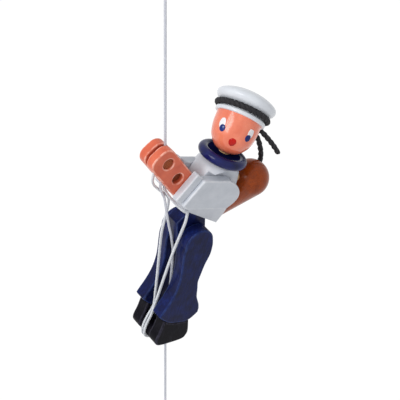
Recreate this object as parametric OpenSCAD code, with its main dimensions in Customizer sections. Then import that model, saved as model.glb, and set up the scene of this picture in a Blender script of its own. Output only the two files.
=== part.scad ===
// Climbing sailor toy: a sawn and turned wooden figure that grips a hanging string.
// Lengths are in millimetres. +Z runs up the string and the figure faces -X.
// The origin is the centre of the hanging ring's bore.
// Places on the figure are measured from the grip, the middle of the two hands.

/* [Hanging ring] */
// Radius of the ring's bore
ring_bore_r = 8; // [6:0.5:9]
// Outer radius of the ring
ring_r = 12; // [11:0.5:14]
// Width of the ring along its axis
ring_w = 5; // [4:0.5:5.5]
// Radius of the lug below the ring that the string ties through
lug_r = 3.6; // [3.4:0.1:4]
// Drop from the ring's centre to the lug's hole
lug_drop = 14; // [13.8:0.1:15]
// Radius of the lug's hole
lug_hole_r = 1.7; // [1.6:0.05:1.9]

/* [String] */
// Diameter of the string
string_d = 1.5; // [1.2:0.1:1.6]
// Drop from the ring's centre to the grip
grip_drop = 125; // [120:1:150]
// Drop from the grip to the centre of the pull bead
bead_drop = 200; // [150:1:240]
// Diameter of the pull bead
bead_d = 14; // [10:0.5:18]
// Diameter of the knots in the string
knot_d = 4.2; // [3.6:0.1:5]

/* [Hands] */
// Gap between the two hands, which holds the string
slot_w = 1.8; // [1.7:0.05:2.4]
// Thickness of one hand
hand_t = 5.1; // [4.6:0.1:6]
// Half the width of a hand
hand_r = 7.1; // [6.6:0.1:8]
// Distance from the grip to a hand's tip
hand_tip = 13.8; // [13:0.1:15]
// Radius of the corners at a hand's tip
hand_corner = 5.2; // [4.5:0.1:6]
// Distance from the grip to a hand's wrist end
hand_wrist = 19.4; // [17.5:0.1:21]
// Slope of the hands below level, in degrees
hand_slope = 60; // [58:0.5:62]
// Diameter of the two dowels that the string bends round
grip_dowel_d = 6; // [5:0.1:6]
// Depth of the upper dowel's ends below the hands' outer faces
upper_recess = 0.8; // [0.2:0.1:2]
// Depth of the lower dowel's ends below the hands' outer faces
lower_recess = 2.2; // [0.2:0.1:3]

/* [Sleeves] */
// Thickness of one sleeve
sleeve_t = 6; // [5:0.1:7]
// Half the width of a sleeve
sleeve_r = 8.4; // [7.8:0.1:8.8]
// Reach of a sleeve behind the shoulder dowel
sleeve_back = 10.5; // [10:0.1:11]
// Length of a sleeve's upper edge from the shoulder
sleeve_top = 17; // [16.5:0.1:18]
// Length of a sleeve's lower edge from the shoulder
sleeve_bottom = 23.9; // [23:0.1:25]
// Slope of the sleeves above level, in degrees
sleeve_slope = 24.5; // [23:0.5:26]
// Width of the turned-back cuff
cuff_w = 5; // [4:0.1:5.5]
// Thickness of the cuff over the hand
cuff_t = 4.1; // [3:0.1:5]
// Diameter of the shoulder dowel
shoulder_dowel_d = 5; // [4:0.1:6]

/* [Torso] */
// Backward lean of the torso in degrees
lean = 27.5; // [26:0.5:29]
// Length of the torso from the collar's centre to the middle of the hem
torso_len = 34.1; // [33:0.1:35]
// Slant of the hem, lower at the back, in degrees
hem_slant = 14; // [12:0.5:16]
// Radius of the torso's rounded shoulders
shoulder_r = 11.9; // [11.6:0.1:12.3]
// Height of the shoulders' full width below the collar's middle
shoulder_drop = 6.6; // [6:0.1:7.5]
// Radius of the torso at the chest
chest_r = 13.5; // [13:0.1:14]
// Height of the chest below the collar's middle
chest_drop = 12; // [11:0.1:13]
// Largest radius of the torso, at the belly
belly_r = 15.4; // [14.6:0.1:15.8]
// Height of the belly below the collar's middle
belly_drop = 25; // [23:0.1:27]
// Radius of the torso at the hem
hem_r = 13.8; // [13:0.1:14.4]
// Radius about the shoulder of the flat on each side that the sleeve swings on
recess_r = 13.5; // [13:0.1:14.4]
// Swing of the sleeves that the flat leaves room for, in degrees
recess_swing = 8.5; // [8.5:0.5:12]
// Radius of the ring that forms the collar, to the middle of its section
collar_r = 10.6; // [10.2:0.1:11]
// Diameter of the collar's section
collar_d = 5.2; // [4.6:0.1:5.4]
// Diameter of the neck dowel
neck_dowel_d = 6; // [5:0.1:8]

/* [Head] */
// Largest radius of the head
head_r = 11.8; // [11:0.1:12.4]
// Distance from the head's centre to the chin end
head_drop = 12.6; // [11.5:0.1:13]
// Height of the head's centre above the collar's centre
neck_rise = 14.8; // [14.4:0.1:16]
// Turn of the head to the figure's left, in degrees
head_turn = 46; // [20:1:60]
// Tilt of the head's own axis from the neck, in degrees
head_tilt = 29; // [20:1:34]

/* [Hat] */
// Radius of the brim
brim_r = 13.3; // [12.9:0.1:14]
// Height of the brim's underside above the head's centre
brim_z = 6; // [5.5:0.1:7]
// Thickness of the brim
brim_t = 2.2; // [1.6:0.1:3]
// Radius of the groove that holds the band
groove_r = 11.8; // [11:0.1:12.2]
// Diameter of the twisted band
band_d = 3.2; // [2.6:0.1:3.6]
// Largest radius of the crown
crown_r = 15.8; // [15:0.1:17]
// Height of the crown above the band's groove
crown_h = 8.8; // [7.5:0.1:10]

/* [Kit bag] */
// Radius of the bag's round end
bag_r = 10; // [9:0.1:10.4]
// Radius of the bag's narrow end
bag_tip_r = 5.2; // [4:0.1:5.6]
// Length from the round end's centre to the narrow end's centre
bag_len = 28; // [24:0.5:29]
// Slant of the bag across the back, in degrees
bag_slant = 24.3; // [15:0.1:30]
// Diameter of the dowel that holds the bag
bag_dowel_d = 4; // [3:0.1:5]

/* [Legs] */
// Thickness of the pelvis block
pelvis_t = 8.4; // [7.4:0.1:8.6]
// Radius of the pelvis block's round end
pelvis_r = 8.5; // [8:0.1:8.8]
// Gap between the two legs
leg_gap = 9; // [8.8:0.1:10]
// Thickness of one leg
leg_t = 7.4; // [6.4:0.1:8.4]
// Radius of a leg's round top
hip_r = 8.4; // [8:0.1:8.5]
// Diameter of the hip pin
hip_pin_d = 4; // [3:0.1:5]
// Length of the foot block, front to back
foot_l = 9.3; // [8:0.1:9.8]
// Height of the foot block
foot_h = 8; // [7:0.1:8.4]

/* [Elastic] */
// Diameter of the elastic cord
elastic_d = 1.6; // [1.2:0.1:1.7]
// Diameter of the band's loose ends
tail_d = 2.9; // [2.4:0.1:3.2]

/* [Fits] */
// Radial clearance of a glued dowel in its hole
glue_fit = 0.02; // [0.01:0.01:0.05]
// Radial clearance of a dowel that turns in its hole
turn_fit = 0.06; // [0.04:0.01:0.1]
// Gap between pieces that move past each other
side_gap = 0.3; // [0.2:0.05:0.4]

/* [Hidden] */

$fn = 64;
string_r = string_d / 2;
elastic_r = elastic_d / 2;
tail_r = tail_d / 2;
cord_sides = 8;
cut_reach = 60;
near = -1;
far = 1;

loop_r = 4.2;
loop_rise = 0.4;
loop_z = -lug_drop + loop_rise - loop_r;
top_knot_z = loop_z - loop_r - 1.8;
bead_bore_r = string_r + 0.1;
bead_z = -grip_drop - bead_drop;
bead_flat = 1;
end_knot_z = bead_z - bead_d / 2 - knot_d / 2 + bead_flat + 0.3;

hand_in = slot_w / 2;
hand_out = hand_in + hand_t;
upper_dowel = [-1.8, 5.1];
lower_dowel = [3.4, -6.3];
shoulder = [27.7, -24];
sleeve_out = hand_out + sleeve_t;
sleeve_front_z = -5.9;
sleeve_heel = 2.4;
shoulder_relief_r = 18.8;
cuff_overhang = 0.55;
shoulder_end_gap = 2;

collar_c = [34.4, -8.7];
collar_seat = collar_d / 2;
spigot_r = collar_r - collar_d / 2 - 0.1;
spigot_top = 1.8;
torso_spare = 5;
neck_bottom = -10;
neck_top = 12;
neck_end_gap = 0.3;
bag_c = [24.3, -2.2, -10.9];
bag_dowel_in = 8;
bag_dowel_len = 12;
hip = [13.5, -50.5];
pelvis_top = 12;
pelvis_front = [[7.6, -35.5], [4.3, -37.7], [4.5, -43]];
hip_pin_end_gap = 1.5;
band_h = 3.5;
band_z = brim_z + brim_t + band_h / 2;
band_ring_r = groove_r + band_d / 2 + 0.1;
crown_z = brim_z + brim_t + band_h;
foot_c = [-8.2, -109.2];
sole_slope = 14;
foot_round = 2.6;
leg_in = leg_gap / 2;

// Half outlines of one leg from the hip down, front and back, and the hem between them
leg_front = [[5.1, -50.5], [3.9, -54], [3.2, -58.6], [1.9, -69], [-0.8, -77.3], [-4.6, -83.4], [-9, -88.5],
    [-10.9, -90.8]];
leg_hem = [[-10.5, -92], [-5.4, -97.7], [1, -101], [7.4, -102.5], [13.2, -99.8]];
leg_back = [[13.9, -97.3], [13.8, -94], [12.6, -88], [12.9, -82], [13.2, -77], [14.9, -72.5], [17.3, -66.7],
    [20.5, -60.9], [21.9, -55], [21.9, -50.5]];
shoe_outline = [[-7.5, -94], [-10.6, -101.5], [-13.2, -106.3], [-13.6, -109.3], [-12, -111.6], [-6.9, -113.2],
    [2.5, -114.9], [5.6, -113.5], [7.2, -110], [7.4, -100]];

// Route of the string past the grip, as [x, z] points
string_route = [[0, 16], [0, 14], [0.3, 11], [1.6, 8], [2.1, 5.1], [1.4, 1.5], [0.2, -2], [-0.5, -6.3],
    [-1.8, -9.5],
    [-2.9, -12], [-2.3, -15.5], [-1.4, -18.6], [-0.4, -21.7], [1, -32.7], [2.3, -41.2], [3.6, -48],
    [4, -51.6],
    [4.8, -58.5], [4.6, -62], [4.3, -70], [3, -85], [1, -100], [0.3, -110], [0, -116], [0, -118]];
hands_end = 12;
route_end = len(string_route) - 1;

// Route of the elastic cord as [x, y, z] points, in stretches
front_route = [[-2.2, 0, 9.25], [-4.8, 0, 8.1], [-6, 0, 5.3], [-6, 0, 1], [-6.8, 0, -3.4], [-7, 0.6, -7.7],
    [-5.6, 1.3, -11.4],
    [-3.2, 1.8, -15], [-0.5, 1.8, -18.6], [2.2, 1.8, -22], [3.2, 1.8, -25.4], [2.7, 1.8, -29.6],
    [1.7, 1.8, -34],
    [-0.6, 1.6, -42], [-2.1, 1.2, -50.1], [-4.1, 1, -70.9], [-5.5, 1, -85.2], [-6.2, 1, -92],
    [-7.2, 1, -95.4],
    [-10.1, 1, -99.6], [-12.4, 1, -103.6]];
side_route = [[8.9, -6.8, -30.2], [8.5, -6.8, -32.7], [7.8, -6.8, -35.8], [6.2, -6.6, -40.4],
    [1.4, -6, -53], [-2.6, -4.5, -68],
    [-5.7, -3, -81.6], [-8.6, -1.4, -95], [-10.4, -1, -100], [-12.4, -1, -103.6]];
hand_route = [[6.8, 0, -8.6], [4.8, 0, -10.3], [2.2, 0, -11.6], [-0.6, 0, -14.2], [0.2, -0.9, -17.2],
    [2.4, -2.4, -21.8],
    [4.4, -4.6, -25.4], [6.6, -6.7, -28.2]];
foot_turn = [[-13.5, 1, -106.5], [-14, 1, -109.5], [-13.6, 1, -112], [-11.6, 1, -113.7], [-8, 1, -114.6],
    [-5, 1, -115.3],
    [-3.2, 1, -114.4], [-2.6, 1, -112.4], [-2.4, 0.7, -110.8], [-2.4, 0, -110.1]];
elastic_route = concat(front_route, without_last(foot_turn), backwards(across(foot_turn)),
    backwards(side_route),
    backwards(hand_route));
front_end = len(front_route) - 1;
side_start = front_end + 2 * len(foot_turn);
side_end = side_start + len(side_route) - 1;
elastic_end = len(elastic_route) - 1;
near_tail_route = [[56.6, 9.2, -2.2], [58.8, 7, -4.6], [61.8, 4, -8.5], [65.4, 2.2, -14],
    [68.4, 0.8, -19.4], [70.2, 0, -23.3]];
far_tail_route = [[56, 12.3, -3.6], [57.4, 9.4, -7], [60, 5.6, -12.1], [61.4, 4.4, -18], [62, 4, -23.6],
    [61.5, 4, -28.9]];

// Value between two others
function between(a, b, share) = a + (b - a) * share;

// Smooth curves through points
function spline_point(a, b, c, d, t) =
    0.5 * (2 * b + (c - a) * t + (2 * a - 5 * b + 4 * c - d) * t * t + (3 * b - a - 3 * c + d) * t * t * t);
function spline(p, steps) = [
    for (i = [0 : len(p) - 2])
        for (k = [0 : steps - 1])
            spline_point(p[max(i - 1, 0)], p[i], p[i + 1], p[min(i + 2, len(p) - 1)], k / steps),
    p[len(p) - 1]
];
function arc(c, r, from, to, steps) = [
    for (k = [0 : steps])
        let (a = from + (to - from) * k / steps)
            [c[0] + r * cos(a), c[1] + r * sin(a)]
];
function unit(v) = v / norm(v);
function backwards(p) = [for (i = [len(p) - 1 : -1 : 0]) p[i]];
function across(p) = [for (q = p) [q[0], -q[1], q[2]]];
function without_last(p) = [for (i = [0 : len(p) - 2]) p[i]];
function flat_to_space(p) = [for (q = p) [q[0], 0, q[1]]];

// Tube swept along points of route, from point first to point last
function tangent(p, i) = unit(p[min(i + 1, len(p) - 1)] - p[max(i - 1, 0)]);
function square_to(v, t) = unit(v - (v * t) * t);
function tube_sides(p) = [
    for (
        i = 0, side = square_to([1, 0, 0], tangent(p, 0));
        i < len(p);
        i = i + 1, side = square_to(side, tangent(p, min(i, len(p) - 1)))
    )
        side
];
function tube_ring(p, i, side, r) =
    let (up = cross(side, tangent(p, i)))
    [for (k = [0 : cord_sides - 1]) let (a = 360 * k / cord_sides) p[i] + r * (side * cos(a) + up * sin(a))];

module tube(p, r, first = 0, last = -1) {
    end = last < 0 ? len(p) - 1 : last;
    n = cord_sides;
    rings = end - first;
    sides = tube_sides(p);
    points = [for (i = [first : end]) each tube_ring(p, i, sides[i], r)];
    walls = [
        for (i = [0 : rings - 1])
            for (k = [0 : n - 1])
                let (a = i * n + k, b = i * n + (k + 1) % n)
                    each [[a, b, b + n], [a, b + n, a + n]]
    ];
    start_cap = [for (k = [1 : n - 2]) [0, k + 1, k]];
    end_cap = [for (k = [1 : n - 2]) [rings * n, rings * n + k, rings * n + k + 1]];
    polyhedron(points, concat(walls, start_cap, end_cap));
}

// Frames of reference
module at_grip() {
    translate([0, 0, -grip_drop]) children();
}
module at_torso() {
    at_grip() translate([collar_c[0], 0, collar_c[1]]) rotate([0, lean, 0]) children();
}
module at_head() {
    at_torso() translate([0, 0, neck_rise]) rotate([0, 0, head_turn]) rotate([0, head_tilt, 0]) children();
}
module at_bag() {
    at_torso() translate(bag_c) rotate([180 + bag_slant, 0, 0]) children();
}
// A board cut from an [x, z] outline, on one side of the string, from y = inner to y = outer
module board(side, inner, outer) {
    at_grip() translate([0, side > 0 ? outer : -inner, 0])
        rotate([90, 0, 0]) linear_extrude(outer - inner) children();
}
// A round bar across the figure at [x, z], reaching reach each way
module cross_bar(place, d, reach) {
    at_grip() translate([place[0], 0, place[1]]) rotate([90, 0, 0]) cylinder(d = d, h = 2 * reach,
        center = true);
}

// Hanging ring, string, bead and knots
module hanging_ring() {
    color("burlywood") rotate([90, 0, 0]) difference() {
        union() {
            cylinder(r = ring_r, h = ring_w, center = true);
            translate([0, -lug_drop, 0]) cylinder(r = lug_r, h = ring_w, center = true);
        }
        cylinder(r = ring_bore_r, h = ring_w + 2, center = true);
        translate([0, -lug_drop, 0]) cylinder(r = lug_hole_r, h = ring_w + 2, center = true);
    }
}
module string_loop() {
    color("gainsboro") translate([0, 0, loop_z]) rotate([0, 90, 0])
        rotate_extrude() translate([loop_r, 0]) circle(r = string_r);
}
module knot(z) {
    color("gainsboro") translate([0, 0, z]) sphere(d = knot_d);
}
module top_knot() {
    knot(top_knot_z);
}
module end_knot() {
    knot(end_knot_z);
}
module string_upper() {
    bottom = -grip_drop + string_route[0][1];
    color("gainsboro") translate([0, 0, bottom]) cylinder(r = string_r, h = top_knot_z - bottom);
}
module string_in_hands() {
    color("gainsboro") at_grip() tube(flat_to_space(string_route), string_r, 0, hands_end);
}
module string_middle() {
    color("gainsboro") at_grip() tube(flat_to_space(string_route), string_r, hands_end, route_end);
}
module string_lower() {
    top = -grip_drop + string_route[route_end][1];
    color("gainsboro") translate([0, 0, end_knot_z]) cylinder(r = string_r, h = top - end_knot_z);
}
module pull_bead() {
    color("burlywood") translate([0, 0, bead_z]) difference() {
        intersection() {
            sphere(d = bead_d);
            cube([bead_d, bead_d, bead_d - 2 * bead_flat], center = true);
        }
        cylinder(r = bead_bore_r, h = bead_d + 2, center = true);
    }
}

// Arms: two hands glued between two sleeves
module hand_outline() {
    rotate(-hand_slope) {
        side = hand_r - hand_corner;
        translate([hand_corner - hand_tip, -hand_r]) square([hand_tip - hand_corner + hand_wrist,
            2 * hand_r]);
        translate([-hand_tip, -side]) square([2 * hand_corner, 2 * side]);
        for (z = [-side, side]) translate([hand_corner - hand_tip, z]) circle(r = hand_corner);
    }
}
module hand(side) {
    color("salmon") difference() {
        board(side, hand_in, hand_out) hand_outline();
        cross_bar(upper_dowel, grip_dowel_d + 2 * glue_fit, hand_out + 1);
        cross_bar(lower_dowel, grip_dowel_d + 2 * glue_fit, hand_out + 1);
        cross_bar(shoulder, 2 * shoulder_relief_r, hand_out + 1);
    }
}
module near_hand() {
    hand(near);
}
module far_hand() {
    hand(far);
}
module upper_grip_dowel() {
    color("saddlebrown") cross_bar(upper_dowel, grip_dowel_d, hand_out - upper_recess);
}
module lower_grip_dowel() {
    color("saddlebrown") cross_bar(lower_dowel, grip_dowel_d, hand_out - lower_recess);
}
module sleeve_outline() {
    back = spline([[5.3, -sleeve_r], [sleeve_back - 1.5, -sleeve_r * 0.55], [sleeve_back, -1.2],
        [sleeve_back - 1.1, 2.6],
        [5.6, sleeve_r - 2.3], [0.3, sleeve_r]], 4);
    translate(shoulder) rotate(-sleeve_slope) polygon(concat(back, [[-sleeve_top, sleeve_r],
        [-sleeve_bottom, sleeve_front_z], [-sleeve_bottom + 0.3, sleeve_front_z - 1.1],
        [-sleeve_bottom + sleeve_heel, -sleeve_r]]));
}
module cuff_outline() {
    top = [-sleeve_top, sleeve_r];
    bottom = [-sleeve_bottom, sleeve_front_z];
    edge = unit(bottom - top);
    out = [edge[1], -edge[0]] * cuff_w;
    a = top - edge * cuff_overhang;
    b = bottom + edge * cuff_overhang;
    translate(shoulder) rotate(-sleeve_slope) polygon([a, a + out, b + out, b]);
}
module sleeve(side) {
    color("whitesmoke") difference() {
        board(side, hand_out, sleeve_out) sleeve_outline();
        cross_bar(shoulder, shoulder_dowel_d + 2 * glue_fit, sleeve_out - shoulder_end_gap + 0.2);
    }
}
module near_sleeve() {
    sleeve(near);
}
module far_sleeve() {
    sleeve(far);
}
module near_cuff() {
    color("whitesmoke") board(near, hand_out, hand_out + cuff_t) cuff_outline();
}
module far_cuff() {
    color("whitesmoke") board(far, hand_out, hand_out + cuff_t) cuff_outline();
}
module shoulder_dowel() {
    color("burlywood") cross_bar(shoulder, shoulder_dowel_d, sleeve_out - shoulder_end_gap);
}

// Torso, collar, neck, pelvis and bag
module torso_profile() {
    shoulder_mid = between(shoulder_drop, chest_drop, 0.45);
    chest_mid = between(chest_drop, belly_drop, 0.4);
    belly_mid = between(belly_drop, torso_len, 0.5);
    end = torso_len + torso_spare;
    neck_mid = between(collar_seat, shoulder_drop, 0.5);
    side = spline([[collar_r - 1.6, -collar_seat], [shoulder_r - 1, -neck_mid], [shoulder_r, -shoulder_drop],
        [chest_r - 0.7, -shoulder_mid], [chest_r, -chest_drop],
        [between(chest_r, belly_r, 0.5), -chest_mid], [belly_r, -belly_drop], [belly_r - 0.3, -belly_mid],
        [hem_r, -torso_len], [hem_r - 1.6, -end]], 4);
    polygon(concat([[0, -end], [0, spigot_top], [spigot_r, spigot_top], [spigot_r, -collar_seat]], side));
}
// Outline of the flat that a sleeve swings on, open towards the hem and the hands
module recess_outline() {
    translate(shoulder) {
        circle(r = recess_r);
        rotate(-sleeve_slope) {
            translate([-cut_reach, -cut_reach]) square([2 * cut_reach, cut_reach]);
            rotate(-recess_swing) translate([-cut_reach, -sleeve_r]) square([cut_reach,
                2 * sleeve_r + side_gap]);
        }
    }
}
module below_hem() {
    at_torso() translate([0, 0, -torso_len]) rotate([0, hem_slant, 0])
        translate([-cut_reach, -cut_reach, -cut_reach]) cube([2 * cut_reach, 2 * cut_reach, cut_reach]);
}
module torso() {
    inner = hand_out - side_gap;
    color("whitesmoke") difference() {
        at_torso() rotate_extrude() torso_profile();
        below_hem();
        difference() {
            union() {
                board(near, inner, cut_reach) recess_outline();
                board(far, inner, cut_reach) recess_outline();
            }
            at_torso() translate([0, 0, -collar_seat - 1.5]) cylinder(r = spigot_r, h = cut_reach);
        }
        cross_bar(shoulder, shoulder_dowel_d + 2 * turn_fit, hand_out + 1);
        at_torso() translate([0, 0, neck_bottom]) cylinder(d = neck_dowel_d + 2 * glue_fit, h = cut_reach);
        at_torso() translate([bag_dowel_in, bag_c[1], bag_c[2]]) rotate([0, 90, 0])
            cylinder(d = bag_dowel_d + 2 * glue_fit, h = cut_reach);
    }
}
module collar() {
    color("midnightblue") at_torso() rotate_extrude() translate([collar_r, 0]) circle(d = collar_d);
}
module neck_dowel() {
    color("burlywood") at_torso() translate([0, 0, neck_bottom]) cylinder(d = neck_dowel_d,
        h = neck_top - neck_bottom);
}
module pelvis_block() {
    hem_mid = collar_c + torso_len * [-sin(lean), -cos(lean)];
    hem_z = function (x) hem_mid[1] - (x - hem_mid[0]) * tan(lean + hem_slant);
    back = hip[0] + pelvis_r;
    color("navy") difference() {
        at_grip() translate([0, pelvis_t / 2, 0]) rotate([90, 0, 0]) linear_extrude(pelvis_t)
            polygon(concat([[back, hem_z(back)], [pelvis_top, hem_z(pelvis_top)]], pelvis_front,
                arc(hip, pelvis_r, 180, 360, 24)));
        cross_bar(hip, hip_pin_d + 2 * turn_fit, pelvis_t);
    }
}
module bag_profile() {
    tip = arc([bag_len, 0], bag_tip_r, 80, 0, 8);
    bulb = arc([0, 0], bag_r, 180, 80, 16);
    polygon([for (q = concat(bulb, tip)) [max(q[1], 0), q[0]]]);
}
module kit_bag() {
    color("sienna") difference() {
        at_bag() rotate_extrude() bag_profile();
        at_torso() translate([bag_dowel_in, bag_c[1], bag_c[2]]) rotate([0, 90, 0])
            cylinder(d = bag_dowel_d + 2 * glue_fit, h = bag_dowel_len + 0.2);
    }
}
module bag_dowel() {
    color("burlywood") at_torso() translate([bag_dowel_in, bag_c[1], bag_c[2]]) rotate([0, 90, 0])
        cylinder(d = bag_dowel_d, h = bag_dowel_len);
}

// Head and hat
module head_profile() {
    side = spline([[head_r, brim_z - 4], [head_r - 0.4, -1.6], [head_r * 0.89, -head_drop * 0.42],
        [head_r * 0.8, -head_drop * 0.58], [head_r * 0.64, -head_drop * 0.77],
            [head_r * 0.45, -head_drop * 0.9],
        [head_r * 0.2, -head_drop * 0.98], [0, -head_drop]], 4);
    polygon(concat([[0, brim_z], [head_r, brim_z]], side));
}
module head() {
    color("salmon") difference() {
        at_head() rotate_extrude() head_profile();
        at_torso() cylinder(d = neck_dowel_d + 2 * turn_fit, h = neck_top + neck_end_gap);
    }
}
module hat_profile() {
    crown = spline([[crown_r - 2.6, crown_z], [crown_r - 0.8, crown_z + 1.4],
        [crown_r, crown_z + crown_h * 0.4],
        [crown_r - 1.2, crown_z + crown_h * 0.62], [crown_r - 5, crown_z + crown_h * 0.83],
        [crown_r / 2 - 2, crown_z + crown_h * 0.96], [0, crown_z + crown_h]], 4);
    polygon(concat([[0, brim_z], [brim_r - 0.6, brim_z], [brim_r, brim_z + 0.6],
        [brim_r, brim_z + brim_t - 0.6],
        [brim_r - 0.6, brim_z + brim_t], [groove_r, brim_z + brim_t], [groove_r, crown_z]], crown));
}
module hat() {
    color("whitesmoke") at_head() rotate_extrude() hat_profile();
}
module hat_band() {
    color("midnightblue") at_head() translate([0, 0, band_z]) rotate_extrude() translate([band_ring_r,
        0]) circle(d = band_d);
}
module band_knot() {
    color("midnightblue") at_head() translate([band_ring_r + band_d / 2 + 2.1, 0, band_z]) sphere(r = 2.1);
}
module near_tail() {
    color("midnightblue") at_grip() tube(near_tail_route, tail_r);
}
module far_tail() {
    color("midnightblue") at_grip() tube(far_tail_route, tail_r);
}

// Legs, shoes, hip pin and foot block
module leg_outline() {
    translate(hip) circle(r = hip_r);
    polygon(concat(spline(leg_front, 3), spline(leg_hem, 3), spline(leg_back, 3)));
}
module shoe_shape() {
    difference() {
        polygon(spline(shoe_outline, 3));
        leg_outline();
    }
}
module leg(side) {
    color("navy") difference() {
        board(side, leg_in, leg_in + leg_t) leg_outline();
        cross_bar(hip, hip_pin_d + 2 * glue_fit, leg_in + leg_t - hip_pin_end_gap + 0.2);
    }
}
module near_leg() {
    leg(near);
}
module far_leg() {
    leg(far);
}
module near_shoe() {
    color("black") board(near, leg_in, leg_in + leg_t) shoe_shape();
}
module far_shoe() {
    color("black") board(far, leg_in, leg_in + leg_t) shoe_shape();
}
module hip_pin() {
    color("burlywood") cross_bar(hip, hip_pin_d, leg_in + leg_t - hip_pin_end_gap);
}
module foot_block() {
    x = foot_l / 2 - foot_round;
    z = foot_h / 2 - foot_round;
    color("black") at_grip() translate([0, leg_in, 0]) rotate([90, 0, 0]) linear_extrude(2 * leg_in)
        translate(foot_c) rotate(-sole_slope) {
            square([2 * x, foot_h], center = true);
            square([foot_l, 2 * z], center = true);
            for (a = [-x, x], b = [-z, z]) translate([a, b]) circle(r = foot_round);
        }
}

// Elastic cord that draws the feet towards the hands
module elastic_front() {
    color("white") at_grip() tube(elastic_route, elastic_r, 0, front_end);
}
module elastic_side() {
    color("white") at_grip() tube(elastic_route, elastic_r, side_start, side_end);
}
module elastic_hand() {
    color("white") at_grip() tube(elastic_route, elastic_r, side_end, elastic_end);
}
module elastic_foot_loop() {
    color("white") at_grip() tube(elastic_route, elastic_r, front_end, side_start);
}

hanging_ring();
string_loop();
top_knot();
string_upper();
string_in_hands();
string_middle();
string_lower();
pull_bead();
end_knot();
near_hand();
far_hand();
upper_grip_dowel();
lower_grip_dowel();
near_sleeve();
far_sleeve();
near_cuff();
far_cuff();
shoulder_dowel();
torso();
collar();
neck_dowel();
kit_bag();
bag_dowel();
pelvis_block();
head();
hat();
hat_band();
band_knot();
near_tail();
far_tail();
near_leg();
far_leg();
near_shoe();
far_shoe();
hip_pin();
foot_block();
elastic_front();
elastic_side();
elastic_hand();
elastic_foot_loop();
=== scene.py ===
"""Climbing sailor toy: boards, turnings, cords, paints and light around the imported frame.

Sizes are in millimetres and measured from the grip, the middle of the two hands, with +Z up the string.
"""
import math
import random

import bmesh
import bpy
from mathutils import Matrix, Vector
from mathutils.geometry import tessellate_polygon


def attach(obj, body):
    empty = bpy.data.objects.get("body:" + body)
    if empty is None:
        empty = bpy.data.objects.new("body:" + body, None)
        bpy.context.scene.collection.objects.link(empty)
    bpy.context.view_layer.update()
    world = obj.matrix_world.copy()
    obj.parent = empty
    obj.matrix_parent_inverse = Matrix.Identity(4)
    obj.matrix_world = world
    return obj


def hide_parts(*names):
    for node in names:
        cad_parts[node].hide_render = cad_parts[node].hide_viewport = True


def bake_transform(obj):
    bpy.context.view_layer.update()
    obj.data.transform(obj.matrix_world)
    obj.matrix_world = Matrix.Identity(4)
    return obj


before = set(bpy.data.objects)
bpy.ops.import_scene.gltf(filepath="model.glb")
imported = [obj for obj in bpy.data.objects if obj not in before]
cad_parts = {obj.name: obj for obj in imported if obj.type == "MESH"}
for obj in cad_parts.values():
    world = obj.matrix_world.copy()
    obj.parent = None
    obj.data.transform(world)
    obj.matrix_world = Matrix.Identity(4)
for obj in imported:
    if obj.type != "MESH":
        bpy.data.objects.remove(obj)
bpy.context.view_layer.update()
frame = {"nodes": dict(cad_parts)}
random.seed(7)

MM = 0.001
GRIP_DROP = 125.0
NEAR = -1
FAR = 1

# Camera, placed from the photograph's vanishing directions
EYE = (-0.26401, -0.40728, 0.27459)
VIEW_RIGHT = Vector((0.82773, -0.56085, 0.01765))
VIEW_UP = Vector((0.35704, 0.55068, 0.75450))
VIEW_AHEAD = Vector((0.43288, 0.61822, -0.65606))
LENS = 116.1

# Sizes repeated from the part's source
RING_BORE_R = 8.0
RING_R = 12.0
RING_W = 5.0
LUG_R = 3.6
LUG_DROP = 14.0
LUG_HOLE_R = 1.7
STRING_R = 0.75
BEAD_DROP = 200.0
BEAD_R = 7.0
KNOT_R = 2.1
LOOP_R = 4.2
LOOP_Z = GRIP_DROP - LUG_DROP + 0.4 - LOOP_R
TOP_KNOT_Z = LOOP_Z - LOOP_R - 1.8
BEAD_Z = -BEAD_DROP
END_KNOT_Z = BEAD_Z - BEAD_R - KNOT_R + 1.3
HAND_IN = 0.9
HAND_OUT = 6.0
HAND_R = 7.1
HAND_END = 13.8
HAND_CORNER = 5.2
HAND_WRIST = 19.4
HAND_SLOPE = 60.0
DOWEL_R = 3.0
UPPER_DOWEL = (-1.8, 5.1)
LOWER_DOWEL = (3.4, -6.3)
UPPER_RECESS = 0.8
LOWER_RECESS = 2.2
SHOULDER = (27.7, -24.0)
SLEEVE_OUT = 12.0
SLEEVE_R = 8.4
SLEEVE_BACK = 10.5
SLEEVE_TOP = 17.0
SLEEVE_BOTTOM = 23.9
SLEEVE_FRONT_Z = -5.9
SLEEVE_HEEL = 2.4
SLEEVE_SLOPE = 24.5
CUFF_W = 5.0
CUFF_T = 4.1
CUFF_OVERHANG = 0.55
RELIEF_R = 18.8
COLLAR_C = (34.4, 0.0, -8.7)
COLLAR_R = 10.6
COLLAR_TUBE_R = 2.6
SPIGOT_R = COLLAR_R - COLLAR_TUBE_R - 0.1
SPIGOT_TOP = 1.8
LEAN = 27.5
TORSO_LEN = 34.1
HEM_SLANT = 14.0
SHOULDER_R = 11.9
SHOULDER_DROP = 6.6
CHEST_R = 13.5
CHEST_DROP = 12.0
BELLY_R = 15.4
BELLY_DROP = 25.0
TORSO_SPARE = 5.0
HEM_R = 13.8
RECESS_R = 13.5
RECESS_SWING = 8.5
CUT_REACH = 60.0
GLUE_FIT = 0.02
SIDE_GAP = 0.3
NECK_RISE = 14.8
HEAD_TURN = 46.0
HEAD_TILT = 29.0
HEAD_R = 11.8
HEAD_DROP = 12.6
BRIM_R = 13.3
BRIM_Z = 6.0
BRIM_T = 2.2
GROOVE_R = 11.8
BAND_R = 1.6
BAND_RING_R = GROOVE_R + BAND_R + 0.1
BAND_Z = BRIM_Z + BRIM_T + 1.75
CROWN_Z = BRIM_Z + BRIM_T + 3.5
CROWN_R = 15.8
CROWN_H = 8.8
BAG_C = (24.3, -2.2, -10.9)
BAG_SLANT = 24.3
BAG_R = 10.0
BAG_TIP_R = 5.2
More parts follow.
